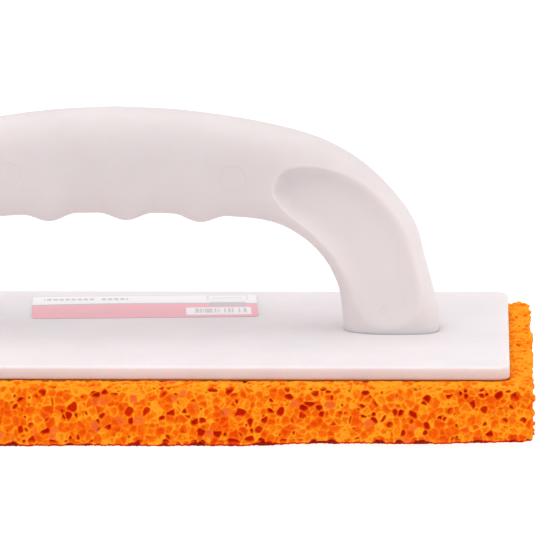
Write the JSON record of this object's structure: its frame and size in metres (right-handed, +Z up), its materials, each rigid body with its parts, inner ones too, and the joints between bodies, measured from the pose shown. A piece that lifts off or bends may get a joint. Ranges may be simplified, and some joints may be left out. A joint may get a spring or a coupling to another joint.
{
  "type": "sponge grout float",
  "caption": "Hand float for wiping grout: a moulded D-grip with finger ridges and dished thumb rests on a flat plate that carries a coarse foam pad.",
  "frame": {"origin": "centre of the foam pad's working face", "axes": "+X along the float's length, +Y across it towards the label, +Z up from the working face to the grip"},
  "size_m": [0.28, 0.14, 0.1006],
  "materials": {
    "grip_plastic": "satin",
    "plate_plastic": "satin",
    "screw_steel": "satin",
    "adhesive": "matte",
    "foam": "matte",
    "label_film": "satin"
  },
  "bodies": {
    "root": {"handle": "grip_plastic", "base_plate": "plate_plastic", "screw_left_outer": "screw_steel", "screw_left_inner": "screw_steel", "screw_right_inner": "screw_steel", "screw_right_outer": "screw_steel", "adhesive_film": "adhesive", "sponge_pad": "foam", "label": "label_film"}
  },
  "joints": []
}
